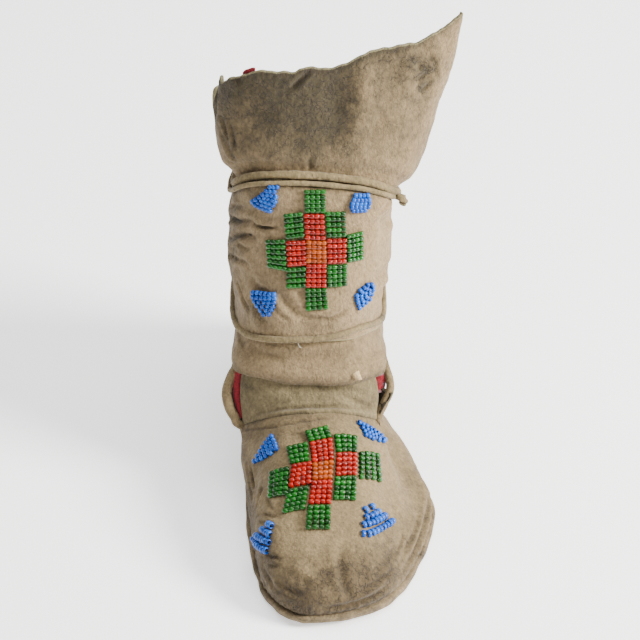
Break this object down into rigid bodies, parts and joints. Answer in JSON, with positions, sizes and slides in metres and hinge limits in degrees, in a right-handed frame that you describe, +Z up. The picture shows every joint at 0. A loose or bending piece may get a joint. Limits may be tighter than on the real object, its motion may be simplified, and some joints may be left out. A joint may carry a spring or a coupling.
{
  "type": "beaded moccasin boot",
  "caption": "Child's ankle-high hide moccasin boot, left foot: flat sole, soft puckered upper, tongue, slack flared shaft, tied panel and stepped-cross beadwork.",
  "frame": {"origin": "on the floor, under the middle of the foot's length and of the boot's whole width", "axes": "+Z up; -Y towards the toe; -X the medial side, +X the lateral side of a left boot"},
  "size_m": [0.0902, 0.172, 0.1823],
  "materials": {
    "sole_hide": "hard rawhide, dirty",
    "upper_hide": "smoked suede, soiled",
    "tongue_hide": "smoked suede",
    "shaft_hide": "smoked suede, stained",
    "panel_hide": "smoked suede",
    "thong_hide": "rolled hide",
    "red_felt": "wool felt",
    "green_bead": "glossy glass",
    "red_bead": "glossy glass",
    "amber_bead": "glossy glass",
    "blue_bead": "opaque glass",
    "thread": "sinew thread"
  },
  "bodies": {
    "root": {"sole": "sole_hide", "upper": "upper_hide", "tongue": "tongue_hide", "shaft": "shaft_hide", "shaft_panel": "panel_hide", "thong_lower": "thong_hide", "thong_upper": "thong_hide", "beads_panel_cross": "green_bead", "beads_vamp_cross": "green_bead", "beads_panel_upper_medial": "blue_bead", "beads_panel_upper_lateral": "blue_bead", "beads_panel_lower_medial": "blue_bead", "beads_panel_lower_lateral": "blue_bead", "beads_vamp_ankle_medial": "blue_bead", "beads_vamp_ankle_lateral": "blue_bead", "beads_vamp_toe_medial": "blue_bead", "beads_vamp_toe_lateral": "blue_bead"}
  },
  "joints": []
}
